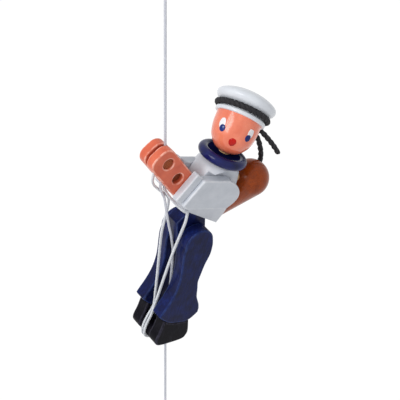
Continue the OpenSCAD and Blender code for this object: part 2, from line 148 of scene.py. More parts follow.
BAG_LEN = 28.0
HIP = (13.5, -50.5)
HIP_R = 8.4
PELVIS_R = 8.5
PELVIS_HALF = 4.2
PELVIS_TOP = 12.0
LEG_IN = 4.5
LEG_OUT = 11.9
FOOT_C = (-8.2, -109.2)
FOOT_L = 9.3
FOOT_H = 8.0
FOOT_ROUND = 2.6
SOLE_SLOPE = 14.0
ELASTIC_R = 0.8
TAIL_R = 1.45

PELVIS_FRONT = [(7.6, -35.5), (4.3, -37.7), (4.5, -43)]
LEG_FRONT = [(5.1, -50.5), (3.9, -54), (3.2, -58.6), (1.9, -69), (-0.8, -77.3), (-4.6, -83.4), (-9, -88.5),
             (-10.9, -90.8)]
LEG_HEM = [(-10.5, -92), (-5.4, -97.7), (1, -101), (7.4, -102.5), (13.2, -99.8)]
LEG_BACK = [(13.9, -97.3), (13.8, -94), (12.6, -88), (12.9, -82), (13.2, -77), (14.9, -72.5), (17.3, -66.7),
            (20.5, -60.9), (21.9, -55), (21.9, -50.5)]
SHOE = [(-7.5, -94), (-10.6, -101.5), (-13.2, -106.3), (-13.6, -109.3), (-12, -111.6), (-6.9, -113.2),
        (2.5, -114.9), (5.6, -113.5), (7.2, -110), (7.4, -100)]
STRING_ROUTE = [(0, 16), (0, 14), (0.3, 11), (1.6, 8), (2.1, 5.1), (1.4, 1.5), (0.2, -2), (-0.5, -6.3),
                (-1.8, -9.5), (-2.9, -12), (-2.3, -15.5), (-1.4, -18.6), (-0.4, -21.7), (1, -32.7),
                (2.3, -41.2), (3.6, -48), (4, -51.6), (4.8, -58.5), (4.6, -62), (4.3, -70), (3, -85),
                (1, -100), (0.3, -110), (0, -116), (0, -118)]
FRONT_ROUTE = [(-2.2, 0, 9.25), (-4.8, 0, 8.1), (-6, 0, 5.3), (-6, 0, 1), (-6.8, 0, -3.4), (-7, 0.6, -7.7),
               (-5.6, 1.3, -11.4), (-3.2, 1.8, -15), (-0.5, 1.8, -18.6), (2.2, 1.8, -22), (3.2, 1.8, -25.4),
               (2.7, 1.8, -29.6), (1.7, 1.8, -34), (-0.6, 1.6, -42), (-2.1, 1.2, -50.1), (-4.1, 1, -70.9),
               (-5.5, 1, -85.2), (-6.2, 1, -92), (-7.2, 1, -95.4), (-10.1, 1, -99.6), (-12.4, 1, -103.6)]
FRONT_SPLIT = 12
FOOT_TURN = [(-13.5, 1, -106.5), (-14, 1, -109.5), (-13.6, 1, -112), (-11.6, 1, -113.7), (-8, 1, -114.6),
             (-5, 1, -115.3), (-3.2, 1, -114.4), (-2.6, 1, -112.4), (-2.4, 0.7, -110.8), (-2.4, 0, -110.1)]
SIDE_ROUTE = [(8.9, -6.8, -30.2), (8.5, -6.8, -32.7), (7.8, -6.8, -35.8), (6.2, -6.6, -40.4), (1.4, -6, -53),
              (-2.6, -4.5, -68), (-5.7, -3, -81.6), (-8.6, -1.4, -95), (-10.4, -1, -100), (-12.4, -1, -103.6)]
HAND_ROUTE = [(6.8, 0, -8.6), (4.8, 0, -10.3), (2.2, 0, -11.6), (-0.6, 0, -14.2), (0.2, -0.9, -17.2),
              (2.4, -2.4, -21.8), (4.4, -4.6, -25.4), (6.6, -6.7, -28.2)]
NEAR_TAIL = [(56.6, 9.2, -2.2), (58.8, 7, -4.6), (61.8, 4, -8.5), (65.4, 2.2, -14), (68.4, 0.8, -19.4),
             (70.2, 0, -23.3)]
FAR_TAIL = [(56, 12.3, -3.6), (57.4, 9.4, -7), (60, 5.6, -12.1), (61.4, 4.4, -18), (62, 4, -23.6),
            (61.5, 4, -28.9)]


def rotation(degrees, axis):
    return Matrix.Rotation(math.radians(degrees), 4, axis)


TORSO_FRAME = Matrix.Translation(COLLAR_C) @ rotation(LEAN, "Y")
HEAD_FRAME = (TORSO_FRAME @ Matrix.Translation((0, 0, NECK_RISE))
              @ rotation(HEAD_TURN, "Z") @ rotation(HEAD_TILT, "Y"))
BAG_FRAME = TORSO_FRAME @ Matrix.Translation(BAG_C) @ rotation(180 + BAG_SLANT, "X")


# Curves and outlines
def at_row(p):
    return Vector((p[0], p[1], p[2] - GRIP_DROP)) * MM


def between(a, b, share):
    return a + (b - a) * share


def spline(points, steps):
    pts = [Vector(p) for p in points]
    curve = []
    for i in range(len(pts) - 1):
        a = pts[max(i - 1, 0)]
        b = pts[i]
        c = pts[i + 1]
        d = pts[min(i + 2, len(pts) - 1)]
        for k in range(steps):
            t = k / steps
            curve.append(0.5 * (2 * b + (c - a) * t + (2 * a - 5 * b + 4 * c - d) * t * t
                                + (3 * b - a - 3 * c + d) * t ** 3))
    curve.append(pts[-1])
    return curve


def resample(points, gap):
    lengths = [0.0]
    for a, b in zip(points, points[1:]):
        lengths.append(lengths[-1] + (b - a).length)
    count = max(2, round(lengths[-1] / gap))
    result = []
    i = 0
    for k in range(count + 1):
        target = lengths[-1] * k / count
        while i < len(points) - 2 and lengths[i + 1] < target:
            i += 1
        span = lengths[i + 1] - lengths[i]
        t = (target - lengths[i]) / span if span else 0.0
        result.append(points[i].lerp(points[i + 1], t))
    return result


def route_length(points):
    return sum((b - a).length for a, b in zip(points, points[1:]))


def arc(centre, radius, start, end, steps):
    angles = [math.radians(start + (end - start) * k / steps) for k in range(steps + 1)]
    return [Vector((centre[0] + radius * math.cos(a), centre[1] + radius * math.sin(a))) for a in angles]


def rounded_box(centre, half_w, half_h, radius, steps):
    loop = []
    for cx, cy, start in ((1, 1, 0), (-1, 1, 90), (-1, -1, 180), (1, -1, 270)):
        corner = (centre[0] + cx * (half_w - radius), centre[1] + cy * (half_h - radius))
        loop += arc(corner, radius, start, start + 90, steps)
    return loop


def turned(points, degrees, centre=(0, 0)):
    c = math.cos(math.radians(degrees))
    s = math.sin(math.radians(degrees))
    return [Vector((centre[0] + p[0] * c - p[1] * s, centre[1] + p[0] * s + p[1] * c)) for p in points]


def signed_area(loop):
    pairs = zip(loop, loop[1:] + loop[:1])
    return sum(a[0] * b[1] - b[0] * a[1] for a, b in pairs) / 2


def wound(loop, positive):
    return loop if (signed_area(loop) > 0) == positive else loop[::-1]


def without_repeats(loop):
    return [p for i, p in enumerate(loop) if (p - loop[i - 1]).length > 0.02]


def rounded_corners(loop, radius, steps=3):
    """Cuts each sharp corner of a closed outline into a short curve."""
    result = []
    count = len(loop)
    for i, p in enumerate(loop):
        back = loop[i - 1] - p
        ahead = loop[(i + 1) % count] - p
        turn = math.pi - back.angle(ahead)
        reach = min(radius, back.length * 0.45, ahead.length * 0.45)
        if turn < 0.5 or reach < 0.05:
            result.append(p)
            continue
        a = p + back.normalized() * reach
        b = p + ahead.normalized() * reach
        for k in range(steps + 1):
            t = k / steps
            result.append(a * (1 - t) ** 2 + p * 2 * t * (1 - t) + b * t * t)
    return result


def inset_loop(loop, inset):
    count = len(loop)
    result = []
    for i, p in enumerate(loop):
        before = (p - loop[i - 1]).normalized()
        after = (loop[(i + 1) % count] - p).normalized()
        n1 = Vector((-before[1], before[0]))
        n2 = Vector((-after[1], after[0]))
        middle = (n1 + n2).normalized()
        result.append(p + middle * inset / max(0.4, middle.dot(n1)))
    return result


# Mesh builders: each returns points, faces and an edge weight for each point
def board_mesh(outline, holes, inner, outer, edge_r, steps=4):
    loops = [wound(without_repeats(outline), True)]
    loops += [wound(h, False) for h in holes]
    margin = 0.3
    bend = [math.radians(90 * k / steps) for k in range(steps + 1)]
    low = [(edge_r * (1 - math.cos(a)), inner + edge_r * (1 - math.sin(a)), 1.0) for a in reversed(bend)]
    profile = [(edge_r + margin, inner, 0.0)] + low + [(0.0, inner + edge_r + margin, 0.0)]
    profile += [(0.0, outer - edge_r - margin, 0.0)]
    profile += [(i, outer + inner - y, w) for i, y, w in reversed(low)] + [(edge_r + margin, outer, 0.0)]
    verts = []
    weights = []
    faces = []
    caps = ([], [])
    for loop in loops:
        size = len(loop)
        first = len(verts)
        for inset, y, weight in profile:
            for p in inset_loop(loop, inset):
                verts.append(Vector((p[0], y, p[1])))
                weights.append(weight)
        last = len(profile) - 1
        for row in range(last):
            for k in range(size):
                a = first + row * size + k
                b = first + row * size + (k + 1) % size
                faces.append((a, b, b + size, a + size))
        caps[0].append(range(first, first + size))
        caps[1].append(range(first + last * size, first + (last + 1) * size))
    for cap in caps:
        index = [i for part in cap for i in part]
        shapes = [[Vector((verts[i][0], verts[i][2], 0)) for i in part] for part in cap]
        faces += [tuple(index[i] for i in tri) for tri in tessellate_polygon(shapes)]
    return verts, faces, weights


def lathe_mesh(profile, place, steps=96):
    """Turns a profile of (radius, height) points about the local Z."""
    verts = []
    rows = []
    for r, z in profile:
        count = 1 if r < 0.001 else steps
        rows.append(range(len(verts), len(verts) + count))
        for k in range(count):
            a = 2 * math.pi * k / steps
            verts.append(place @ Vector((r * math.cos(a), r * math.sin(a), z)))
    faces = []
    for low, high in zip(rows, rows[1:]):
        for k in range(steps):
            n = (k + 1) % steps
            if len(low) == 1 and len(high) == 1:
                continue
            if len(low) == 1:
                faces.append((low[0], high[k], high[n]))
            elif len(high) == 1:
                faces.append((low[k], low[n], high[0]))
            else:
                faces.append((low[k], low[n], high[n], high[k]))
    return verts, faces, [0.0] * len(verts)


def frames_along(points):
    count = len(points)
    tangents = [(points[min(i + 1, count - 1)] - points[max(i - 1, 0)]).normalized() for i in range(count)]
    side = tangents[0].orthogonal().normalized()
    frames = []
    for t in tangents:
        side = (side - t * side.dot(t)).normalized()
        frames.append((side, t.cross(side)))
    return frames


def beside(point, frame, radius, angle):
    return point + frame[0] * (radius * math.cos(angle)) + frame[1] * (radius * math.sin(angle))


def tube_mesh(points, radius, sides=12, closed=False):
    """Tube along points; radius is a function of the turn around it, the run along it and the share done."""
    frames = frames_along(points)
    verts = []
    run = 0.0
    for i, p in enumerate(points):
        if i:
            run += (p - points[i - 1]).length
        share = i / (len(points) - 1)
        for k in range(sides):
            a = 2 * math.pi * k / sides
            verts.append(beside(p, frames[i], radius(a, run, share), a))
    faces = []
    rings = len(points) if closed else len(points) - 1
    for i in range(rings):
        for k in range(sides):
            a = i * sides + k
            b = i * sides + (k + 1) % sides
            step = sides if i < len(points) - 1 else sides - len(points) * sides
            faces.append((a, b, b + step, a + step))
    if not closed:
        faces.append(tuple(range(sides - 1, -1, -1)))
        last = (len(points) - 1) * sides
        faces.append(tuple(range(last, last + sides)))
    return verts, faces, [0.0] * len(verts)


def joined(meshes):
    verts = []
    faces = []
    weights = []
    for v, f, w in meshes:
        start = len(verts)
        verts += v
        weights += w
        faces += [tuple(i + start for i in face) for face in f]
    return verts, faces, weights


def add_object(name, data):
    obj = bpy.data.objects.new(name, data)
    bpy.context.scene.collection.objects.link(obj)
    return obj


def piece(name, data, material, nodes=(), body=None, sharp=38):
    """Makes a mesh object with its material, the nodes that it replaces and the body that it rides."""
    verts, faces, weights = data
    mesh = bpy.data.meshes.new(name)
    mesh.from_pydata([at_row(v) for v in verts], [], faces)
    edge = mesh.attributes.new("edge", "FLOAT", "POINT")
    edge.data.foreach_set("value", weights)
    shape = bmesh.new()
    shape.from_mesh(mesh)
    bmesh.ops.recalc_face_normals(shape, faces=shape.faces)
    shape.to_mesh(mesh)
    shape.free()
    mesh.polygons.foreach_set("use_smooth", [True] * len(mesh.polygons))
    mesh.set_sharp_from_angle(angle=math.radians(sharp))
    mesh.materials.append(material)
    obj = add_object(name, mesh)
    if nodes:
        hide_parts(*nodes)
    if body:
        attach(obj, body)
    return obj


def settle(obj):
    """Applies the modifiers of an object to its mesh."""
    graph = bpy.context.evaluated_depsgraph_get()
    mesh = bpy.data.meshes.new_from_object(obj.evaluated_get(graph))
    obj.modifiers.clear()
    obj.data = mesh


# Materials
def srgb(r, g, b):
    def linear(v):
        v /= 255
        return v / 12.92 if v <= 0.04045 else ((v + 0.055) / 1.055) ** 2.4
    return (linear(r), linear(g), linear(b), 1.0)


def set_inputs(node, values):
    for name, value in values.items():
        node.inputs[name].default_value = value


def new_material(name, roughness, coat=0.0, coat_roughness=0.1, sheen=0.0, specular=0.5):
    material = bpy.data.materials.new(name)
    material.use_nodes = True
    tree = material.node_tree
    shader = tree.nodes["Principled BSDF"]
    set_inputs(shader, {"Roughness": roughness, "Coat Weight": coat, "Coat Roughness": coat_roughness,
                        "Sheen Weight": sheen, "Specular IOR Level": specular})
    return material, tree, shader


def coordinates(tree, turn=(0, 0, 0), length=1.0):
    """Coordinates drawn out along the direction that +Z takes after the turn."""
    place = tree.nodes.new("ShaderNodeTexCoord")
    mapping = tree.nodes.new("ShaderNodeMapping")
    mapping.vector_type = "TEXTURE"
    mapping.inputs["Rotation"].default_value = [math.radians(a) for a in turn]
    mapping.inputs["Scale"].default_value = (1, 1, length)
    tree.links.new(place.outputs["Object"], mapping.inputs["Vector"])
    return mapping.outputs["Vector"]


def noise(tree, vector, scale, detail=3.0, distortion=0.0):
    texture = tree.nodes.new("ShaderNodeTexNoise")
    set_inputs(texture, {"Scale": scale, "Detail": detail, "Distortion": distortion})
    tree.links.new(vector, texture.inputs["Vector"])
    return texture.outputs["Fac"]


def wave(tree, vector, kind, direction, scale, distortion, detail_scale):
    texture = tree.nodes.new("ShaderNodeTexWave")
    texture.wave_type = kind
    texture.bands_direction = direction
    texture.rings_direction = direction
    set_inputs(texture, {"Scale": scale, "Distortion": distortion, "Detail": 3.0,
                         "Detail Scale": detail_scale})
    tree.links.new(vector, texture.inputs["Vector"])
    return texture.outputs["Fac"]


def spread(tree, value, low, high, out_low=0.0, out_high=1.0):
    span = tree.nodes.new("ShaderNodeMapRange")
    set_inputs(span, {"From Min": low, "From Max": high, "To Min": out_low, "To Max": out_high})
    tree.links.new(value, span.inputs["Value"])
    return span.outputs["Result"]


def maths(tree, a, b, operation="MULTIPLY"):
    node = tree.nodes.new("ShaderNodeMath")
    node.operation = operation
    for socket, value in zip(node.inputs, (a, b)):
        if isinstance(value, (int, float)):
            socket.default_value = value
        else:
            tree.links.new(value, socket)
    return node.outputs["Value"]


def blend_colours(tree, share, a, b):
    """Mixes two colours, each a red, green and blue of 0 to 255 or a node's output."""
    mix = tree.nodes.new("ShaderNodeMix")
    mix.data_type = "RGBA"
    tree.links.new(share, mix.inputs[0])
    for socket, value in ((mix.inputs[6], a), (mix.inputs[7], b)):
        if isinstance(value, tuple):
            socket.default_value = srgb(*value)
        else:
            tree.links.new(value, socket)
    return mix.outputs[2]


def overlay(tree, body, colour, mask, low, high, most):
    """Lays a colour over the body where the mask is high."""
    return blend_colours(tree, spread(tree, mask, low, high, 0.0, most), body, colour)


def add_bump(tree, shader, height, strength, distance):
    bump = tree.nodes.new("ShaderNodeBump")
    set_inputs(bump, {"Strength": strength, "Distance": distance})
    tree.links.new(height, bump.inputs["Height"])
    tree.links.new(bump.outputs["Normal"], shader.inputs["Normal"])


def edge_weight(tree):
    attribute = tree.nodes.new("ShaderNodeAttribute")
    attribute.attribute_name = "edge"
    return attribute.outputs["Fac"]


def paint(name, colour, shade, pale_wear_and_highlight, roughness, coat=0.0, turn=(0, 0, 0), grain=0.35, edge_wear_and_highlight=0.5, pores=0.0,
          specular=0.4):
    """Brushed enamel over wood: grain telling through, slight mottle, and a paler colour along the rounded
    edges that is partly wear and partly painted highlight.
    """
    material, tree, shader = new_material(name, roughness, coat, specular=specular)
    along = coordinates(tree, turn, 11)
    plain = coordinates(tree)
    fibres = noise(tree, along, 1500, 4, 0.4)
    mottle = noise(tree, plain, 160, 3)
    speck = noise(tree, plain, 2600, 2)
    body = blend_colours(tree, spread(tree, mottle, 0.3, 0.7), shade, colour)
    body = overlay(tree, body, shade, fibres, 0.36, 0.6, grain)
    if pores:
        body = overlay(tree, body, pale_wear_and_highlight, noise(tree, along, 2300, 3, 0.2), 0.56, 0.68, pores)
    # Paler colour along the rounded edges: partly wear, partly painted highlight where light catches the
    # edges.
    edge_wear_and_highlight_patches = spread(tree, noise(tree, plain, 420, 4), 0.38, 0.62, 0.15, edge_wear_and_highlight)
    edge_wear_and_highlight_mask = maths(tree, edge_weight(tree), edge_wear_and_highlight_patches)
    body = blend_colours(tree, edge_wear_and_highlight_mask, body, pale_wear_and_highlight)
    tree.links.new(body, shader.inputs["Base Color"])
    dullness = spread(tree, mottle, 0.3, 0.7, roughness - 0.05, roughness + 0.08)
    tree.links.new(dullness, shader.inputs["Roughness"])
    height = maths(tree, maths(tree, fibres, 0.8), maths(tree, speck, 0.3), "ADD")
    add_bump(tree, shader, height, 0.16 + grain * 0.5, 0.00012)
    return material


def timber(name, light, dark, roughness, coat):
    """Bare wood under lacquer: year rings, fibres and lighter patches."""
    material, tree, shader = new_material(name, roughness, coat, 0.12)
    along = coordinates(tree, length=12)
    rings = wave(tree, along, "BANDS", "X", scale=260.0, distortion=5.0, detail_scale=1.4)
    fibres = noise(tree, along, 2400, 4, 0.3)
    patches = noise(tree, coordinates(tree), 90, 3)
    body = blend_colours(tree, spread(tree, rings, 0.2, 0.95, 0.1, 0.8), light, dark)
    body = overlay(tree, body, dark, fibres, 0.42, 0.66, 0.5)
    body = overlay(tree, body, light, patches, 0.35, 0.7, 0.35)
    tree.links.new(body, shader.inputs["Base Color"])
    dullness = spread(tree, fibres, 0.3, 0.7, roughness - 0.06, roughness + 0.08)
    tree.links.new(dullness, shader.inputs["Roughness"])
    add_bump(tree, shader, fibres, 0.25, 0.0001)
    return material


def stain(name, light, dark, turn):
    """Brown stain under gloss lacquer: streaks along the turning, deeper where the stain gathered."""
    material, tree, shader = new_material(name, 0.3, 0.2, 0.1, specular=0.12)
    streaks = noise(tree, coordinates(tree, turn, 16), 240, 3, 0.3)
    fibres = noise(tree, coordinates(tree, turn, 14), 2000, 3, 0.2)
    gathered = noise(tree, coordinates(tree, turn, 2), 45, 1)
    body = overlay(tree, light, dark, streaks, 0.35, 0.72, 0.5)
    body = overlay(tree, body, dark, fibres, 0.5, 0.7, 0.5)
    body = overlay(tree, body, dark, gathered, 0.42, 0.7, 0.45)
    tree.links.new(body, shader.inputs["Base Color"])
    tree.links.new(spread(tree, streaks, 0.3, 0.7, 0.22, 0.34), shader.inputs["Roughness"])
    add_bump(tree, shader, fibres, 0.12, 0.0001)
    return material


def end_grain(name, light, dark, centre):
    """Cut end of a dowel: rings about its centre with open pores."""
    material, tree, shader = new_material(name, 0.5, 0.05, 0.2, specular=0.12)
    place = coordinates(tree)
    shift = tree.nodes.new("ShaderNodeVectorMath")
    shift.operation = "SUBTRACT"
    shift.inputs[1].default_value = at_row((centre[0], 0, centre[1]))
    tree.links.new(place, shift.inputs[0])
    rings = wave(tree, shift.outputs["Vector"], "RINGS", "Y", scale=620, distortion=3.0, detail_scale=2.0)
    pores = noise(tree, place, 3600, 2)
    body = overlay(tree, light, dark, rings, 0.1, 0.9, 0.8)
    body = overlay(tree, body, dark, pores, 0.55, 0.66, 0.8)
    tree.links.new(body, shader.inputs["Base Color"])
    add_bump(tree, shader, pores, 0.4, 0.0001)
    return material


def yarn(name, light, dark, scale, sheen=0.3, roughness=0.75):
    """Textile cord: fine fibres over the modelled twist, with darker patches scattered over it."""
    material, tree, shader = new_material(name, roughness, 0.0, 0.1, sheen)
    place = coordinates(tree)
    fibres = noise(tree, place, scale, 4, 0.6)
    patches = noise(tree, place, 300, 2)
    body = blend_colours(tree, spread(tree, fibres, 0.35, 0.65), dark, light)
    body = overlay(tree, body, dark, patches, 0.35, 0.7, 0.4)
    tree.links.new(body, shader.inputs["Base Color"])
    add_bump(tree, shader, fibres, 0.5, 0.00012)
    return material


GRAIN_LEG = (0, 15, 0)
GRAIN_HAND = (0, -30, 0)
GRAIN_SLEEVE = (0, -66, 0)
GRAIN_TORSO = (0, 27, 0)
# Each paint gives its colour, a darker tone for mottle and grain, and a paler colour, partly wear and partly
# painted highlight, for the rounded edges and the pores.
HAND_PAINT = paint("hand_paint", (230, 116, 84), (206, 92, 64), (252, 186, 166), 0.36,
                   coat=0.15, turn=GRAIN_HAND, grain=0.2, edge_wear_and_highlight=0.9, specular=0.25)
FACE_PAINT = paint("face_paint", (246, 138, 106), (232, 114, 82), (250, 176, 156), 0.22, coat=0.5,
                   turn=(0, 40, 0), grain=0.12, edge_wear_and_highlight=0.3)
SLEEVE_PAINT = paint("sleeve_paint", (214, 218, 226), (198, 203, 212), (238, 240, 244), 0.42,
                     turn=GRAIN_SLEEVE, grain=0.25, edge_wear_and_highlight=0.55)
HAT_PAINT = paint("hat_paint", (229, 234, 240), (218, 222, 230), (244, 245, 246), 0.34, coat=0.3,
                  turn=(0, 40, 0), grain=0.12, edge_wear_and_highlight=0.4)
TORSO_PAINT = paint("torso_paint", (220, 224, 231), (206, 210, 219), (246, 246, 248), 0.38,
                    coat=0.2, turn=GRAIN_TORSO, grain=0.2, edge_wear_and_highlight=0.7)
COLLAR_PAINT = paint("collar_paint", (26, 34, 102), (14, 18, 62), (64, 76, 136), 0.2, coat=0.3,
                     turn=GRAIN_TORSO, grain=0.12, edge_wear_and_highlight=0.2, specular=0.08)
# Inside of the collar: navy paint, darker and matte as painted shade.
COLLAR_INSIDE_NAVY_AND_SHADE = paint("collar_inside_navy_and_painted_shade", (20, 26, 76), (13, 16, 50), (20, 26, 76), 0.8,
                      grain=0.1, specular=0.0)
LEG_PAINT = paint("leg_paint", (22, 36, 100), (13, 17, 54), (58, 80, 140), 0.34, coat=0.12,
                  turn=GRAIN_LEG, grain=0.7, edge_wear_and_highlight=0.4, pores=0.1, specular=0.06)
SHOE_PAINT = paint("shoe_paint", (16, 14, 24), (8, 7, 14), (78, 76, 92), 0.34, turn=GRAIN_LEG,
                   grain=0.6, edge_wear_and_highlight=0.45, pores=0.12, specular=0.06)
EYE_WHITE = paint("eye_white", (248, 248, 250), (238, 238, 242), (252, 252, 253), 0.28, grain=0.1)
EYE_BLUE = paint("eye_blue", (22, 50, 128), (14, 32, 92), (60, 96, 170), 0.25, grain=0.1, specular=0.2)
# Painted highlight: a pale glint that stands in for the lamp's reflection on the near pupil.
EYE_PAINTED_HIGHLIGHT = paint("eye_painted_highlight", (196, 204, 226), (170, 180, 210), (220, 226, 240), 0.3, grain=0.1)
NOSE_RED = paint("nose_red", (206, 20, 10), (178, 12, 8), (214, 60, 44), 0.28, coat=0.2,
                 grain=0.12, specular=0.15)
PALE_WOOD = timber("pale_wood_grain", (226, 190, 140), (188, 140, 88), 0.4, 0.3)
BAG_WOOD = stain("bag_stain", (168, 72, 16), (92, 34, 10), (24, 12, 0))
UPPER_END = end_grain("upper_dowel_end", (186, 96, 52), (96, 42, 20), UPPER_DOWEL)
LOWER_END = end_grain("lower_dowel_end", (150, 76, 44), (82, 36, 20), LOWER_DOWEL)
STRING_YARN = yarn("string_yarn", (226, 228, 236), (192, 195, 206), 2600)
ELASTIC_YARN = yarn("elastic_yarn", (240, 242, 245), (196, 200, 208), 2200, 0.3, 0.85)
BAND_YARN = yarn("band_yarn", (17, 15, 26), (7, 6, 11), 2400, 0.0, 0.7)


# Camera first, then the cords
def make_camera():
    data = bpy.data.cameras.new("camera")
    data.lens = LENS
    data.sensor_width = 36.0
    data.clip_start = 0.01
    data.clip_end = 20.0
    camera = add_object("camera", data)
    rows = [(VIEW_RIGHT[i], VIEW_UP[i], -VIEW_AHEAD[i], EYE[i]) for i in range(3)]
    camera.matrix_world = Matrix(rows + [(0, 0, 0, 1)])
    bpy.context.scene.camera = camera


def braid(radius, strands, pitch, depth):
    """Radius of a round braid: two sets of strands that cross."""
    def at(turn, run, _share):
        slide = 2 * math.pi * run / pitch
        lumps = math.cos(strands * turn + slide) * math.cos(strands * turn - slide)
        return radius * (1 - depth + depth * lumps)
    return at


def string_weave():
    return braid(STRING_R, strands=3, pitch=2.6, depth=0.06)


def flat_route(points):
    return [(x, 0, z) for x, z in points]


def make_string():
    weave = string_weave()
    loop = [(0, LOOP_R * math.sin(a), LOOP_Z - LOOP_R * math.cos(a))
            for a in [math.radians(360 * k / 24) for k in range(25)]]
    ring_turn = spline(loop, 3)
    drop = [(0, 0, TOP_KNOT_Z + 0.8), (0, 0, TOP_KNOT_Z - 6), (0, 0, 70), (0, 0, 35)]
    hanging = spline(drop + flat_route(STRING_ROUTE), 6)
    upper = resample(ring_turn + hanging, 0.45)
    obj = piece("string_upper_run", tube_mesh(upper, weave, 10), STRING_YARN,
                ("string_loop", "string_upper", "string_in_hands", "string_middle"))
    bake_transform(obj)
    end = STRING_ROUTE[-1]
    lower = resample([Vector((end[0], 0, end[1])), Vector((0, 0, -150)), Vector((0, 0, END_KNOT_Z))], 0.45)
    obj = piece("string_lower_run", tube_mesh(lower, weave, 10), STRING_YARN, ("string_lower",))
    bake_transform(obj)


def knot_mesh(centre, reach, radius, tilt, weave):
    """Overhand knot drawn tight: a three-lobed closed loop."""
    size = (reach - radius) / 3
    turn = rotation(tilt, "X")
    points = []
    count = 72
    for k in range(count):
        t = 2 * math.pi * k / count
        local = Vector((math.sin(t) + 2 * math.sin(2 * t), math.cos(t) - 2 * math.cos(2 * t),
                        -1.5 * math.sin(3 * t)))
        points.append(Vector(centre) + turn @ (local * size))
    return tube_mesh(points, weave, 10, closed=True)


def make_knots():
    for node, height, tilt in (("top_knot", TOP_KNOT_Z, 70), ("end_knot", END_KNOT_Z, 20)):
        data = knot_mesh((0, 0, height), KNOT_R, STRING_R, tilt, string_weave())
        piece(node + "_tied", data, STRING_YARN, (node,), "string")


def make_elastic():
    knit = braid(ELASTIC_R, strands=2, pitch=1.9, depth=0.15)

    def strand(name, points, nodes):
        curve = resample(spline(points, 10), 0.3)
        return piece(name, tube_mesh(curve, knit, 12), ELASTIC_YARN, nodes)

    upper = FRONT_ROUTE[:FRONT_SPLIT + 1]
    lower = FRONT_ROUTE[FRONT_SPLIT:]
    obj = strand("elastic_front_upper", upper, ("elastic_front",))
    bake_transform(obj)
    obj = strand("elastic_front_lower", lower, ("elastic_front",))
    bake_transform(obj)
    obj = strand("elastic_side_run", SIDE_ROUTE, ("elastic_side",))
    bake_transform(obj)
    obj = strand("elastic_hand_run", HAND_ROUTE + [SIDE_ROUTE[0]], ("elastic_hand",))
    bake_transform(obj)
    mirrored = [(x, -y, z) for x, y, z in reversed(FOOT_TURN[:-1])]
    turn = [FRONT_ROUTE[-1]] + FOOT_TURN + mirrored + [SIDE_ROUTE[-1]]
    obj = strand("elastic_foot_turn", turn, ("elastic_foot_loop",))
    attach(obj, "legs")


# Turned pieces
def half_round(radius, centre, start, end, steps):
    return [(p[0], p[1]) for p in arc(centre, radius, start, end, steps)]


def lug_profile(half):
    """Section of the lug that the string is tied to, closed, with its hole's edge broken."""
    edge = 0.3
    return [(LUG_HOLE_R + edge, half), (LUG_R - 0.8, half), (LUG_R - 0.2, half - edge), (LUG_R, half - 0.9),
            (LUG_R, -half + 0.9), (LUG_R - 0.2, -half + edge), (LUG_R - 0.8, -half),
            (LUG_HOLE_R + edge, -half), (LUG_HOLE_R, -half + edge), (LUG_HOLE_R, half - edge),
            (LUG_HOLE_R + edge, half)]


def make_ring():
    half = RING_W / 2
    middle = (RING_BORE_R + RING_R) / 2
    section = rounded_box((middle, 0), (RING_R - RING_BORE_R) / 2, half, 1.3, 6)
    section.append(section[0])
    place = Matrix.Translation((0, 0, GRIP_DROP)) @ rotation(90, "X")
    ring = piece("hanging_ring_turned", lathe_mesh(section, place, 128), PALE_WOOD,
                 ("hanging_ring",), "string")
    below = place @ Matrix.Translation((0, -LUG_DROP, 0))
    cut_away(ring, lathe_mesh(lug_profile(half), below, 64), "UNION")
    ring.data.set_sharp_from_angle(angle=math.radians(50))


def make_bead():
    bore = STRING_R + 0.1
    edge = 1.2
    flat = BEAD_R - 1
    side = half_round(BEAD_R, (0, 0), -57, 57, 28)
    side = ([(bore, -flat), (bore + edge, -flat)] + [p for p in side if abs(p[1]) < flat]
            + [(bore + edge, flat), (bore, flat), (bore, -flat)])
    place = Matrix.Translation((0, 0, BEAD_Z))
    piece("pull_bead_turned", lathe_mesh(side, place, 72), PALE_WOOD, ("pull_bead",), "string")


def make_head():
    side = [(HEAD_R, BRIM_Z - 4), (HEAD_R - 0.4, -1.6), (HEAD_R * 0.89, -HEAD_DROP * 0.42),
            (HEAD_R * 0.8, -HEAD_DROP * 0.58), (HEAD_R * 0.64, -HEAD_DROP * 0.77),
            (HEAD_R * 0.45, -HEAD_DROP * 0.9), (HEAD_R * 0.2, -HEAD_DROP * 0.98), (0, -HEAD_DROP)]
    curve = [(0, BRIM_Z), (HEAD_R, BRIM_Z)] + [(max(p[0], 0), p[1]) for p in spline(side, 8)]
    curve[-1] = (0, -HEAD_DROP)
    piece("head_turned", lathe_mesh(curve, HEAD_FRAME, 128), FACE_PAINT, ("head",), "head", 60)
    return spline(side, 24)


def head_surface(side, turn, height):
    """Point and outward direction on the head at a turn from the face's middle and a height on its axis."""
    best = min(range(1, len(side) - 1), key=lambda i: abs(side[i][1] - height))
    radius = side[best][0]
    slope = (side[best - 1] - side[best + 1]).normalized()
    out = Vector((slope[1], -slope[0]))
    if out[0] < 0:
        out = -out
    a = math.radians(turn)
    around = Vector((-math.cos(a), math.sin(a), 0))
    point = around * radius + Vector((0, 0, side[best][1]))
    return point, around * out[0] + Vector((0, 0, out[1]))


